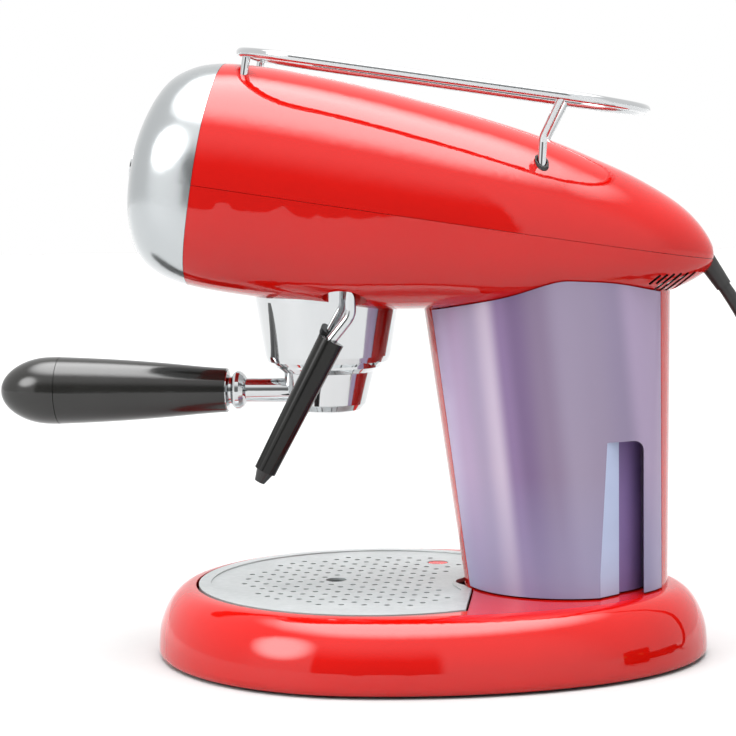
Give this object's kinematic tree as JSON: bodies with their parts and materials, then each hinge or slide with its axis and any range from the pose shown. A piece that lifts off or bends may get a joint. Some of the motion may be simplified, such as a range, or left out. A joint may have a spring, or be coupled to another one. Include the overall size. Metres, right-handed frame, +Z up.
{
  "type": "espresso machine",
  "caption": "Espresso machine with a tilted bullet head on a column, side water tank, round drip tray, steam wand and cup rail.",
  "frame": {"origin": "on the table, under the middle of the machine's outline without its power cord", "axes": "+Z up, front and filter-holder handle towards -Y, water tank and steam wand on +X"},
  "size_m": [0.221, 0.5255, 0.3023],
  "materials": {
    "red_enamel": "high gloss enamel",
    "chrome": "mirror polished",
    "tank_plastic": "translucent satin",
    "grille_metal": "satin grey",
    "tray_plastic": "fine matte",
    "black_gloss": "gloss",
    "black_satin": "satin",
    "rubber": "matte",
    "cord_black": "satin sheath",
    "brass": "turned",
    "aluminium": "cast",
    "steel": "bright",
    "board_green": "lacquer",
    "float_red": "gloss",
    "hose_clear": "satin silicone"
  },
  "bodies": {
    "machine": {"base_shell": "red_enamel", "base_plate": "black_satin", "rubber_feet": "rubber", "column_bolts": "steel", "column_shell": "red_enamel", "column_bulkhead": "black_satin", "tank_dock": "black_satin", "pump": "black_satin", "pump_mounts": "rubber", "suction_hose": "hose_clear", "pressure_hose": "hose_clear", "head_upper_shell": "red_enamel", "head_lower_shell": "red_enamel", "front_cap": "chrome", "button_switches": "black_satin", "head_chassis": "steel", "boiler": "aluminium", "heating_element": "steel", "thermostats": "black_satin", "steam_valve": "brass", "steam_pipe": "steel", "control_board": "board_green", "wand_socket": "red_enamel", "cup_rail": "chrome", "rail_posts_front": "chrome", "rail_posts_rear": "chrome", "rail_washers": "rubber", "group_collar": "chrome", "brew_head": "brass", "group_gasket": "rubber", "shower_screen": "steel", "screen_screw": "steel", "strain_relief": "cord_black", "power_cord": "cord_black", "cord_coil": "cord_black", "cord_tail": "cord_black", "plug_body": "cord_black", "plug_pins": "brass"},
    "water_tank": {"water_tank": "tank_plastic", "tank_spigot": "black_satin"},
    "drip_tray": {"drip_tray": "tray_plastic"},
    "drip_grille": {"drip_grille": "grille_metal"},
    "tray_float": {"tray_float": "float_red"},
    "portafilter": {"portafilter_body": "chrome", "outlet_insert": "black_satin", "filter_basket": "steel", "basket_spring": "steel", "portafilter_ferrule": "chrome", "portafilter_handle": "black_gloss", "handle_end_cap": "black_gloss"},
    "steam_wand": {"wand_ball": "chrome", "wand_tube": "chrome", "wand_sleeve": "black_satin", "wand_nozzle": "black_satin"},
    "steam_knob": {"steam_knob": "black_gloss", "knob_spindle": "steel"},
    "button_left": {"button_left": "chrome"},
    "button_middle": {"button_middle": "chrome"},
    "button_right": {"button_right": "chrome"}
  },
  "joints": [
    {"name": "tank_slide", "type": "slide", "parent": "machine", "child": "water_tank", "axis": [1, 0, 0], "range_m": [0, 0.12]},
    {"name": "tray_lift", "type": "slide", "parent": "machine", "child": "drip_tray", "axis": [0, -0.1274, 0.9919], "range_m": [0, 0.028]},
    {"name": "grille_lift", "type": "slide", "parent": "drip_tray", "child": "drip_grille", "axis": [0, -0.1274, 0.9919], "range_m": [0, 0.02]},
    {"name": "float_rise", "type": "slide", "parent": "drip_tray", "child": "tray_float", "axis": [0, 0, 1], "range_m": [0, 0.006]},
    {"name": "portafilter_lock", "type": "hinge", "parent": "machine", "child": "portafilter", "pos_m": [0, -0.0115, 0.149], "axis": [0, 0, 1], "range_deg": [-50, 0]},
    {"name": "wand_swivel", "type": "hinge", "parent": "machine", "child": "steam_wand", "pos_m": [0.042, 0.0048, 0.193], "axis": [0, 0, 1], "range_deg": [-10, 90]},
    {"name": "steam_knob_turn", "type": "hinge", "parent": "machine", "child": "steam_knob", "pos_m": [-0.06, -0.03436, 0.21123], "axis": [-1, 0, 0], "range_deg": [0, 270]},
    {"name": "press_left", "type": "slide", "parent": "machine", "child": "button_left", "axis": [0, 0.988, -0.1547], "range_m": [0, 0.0025], "stiffness_N_per_m": 900},
    {"name": "press_middle", "type": "slide", "parent": "machine", "child": "button_middle", "axis": [0, 0.988, -0.1547], "range_m": [0, 0.0025], "stiffness_N_per_m": 900},
    {"name": "press_right", "type": "slide", "parent": "machine", "child": "button_right", "axis": [0, 0.988, -0.1547], "range_m": [0, 0.0025], "stiffness_N_per_m": 900}
  ]
}
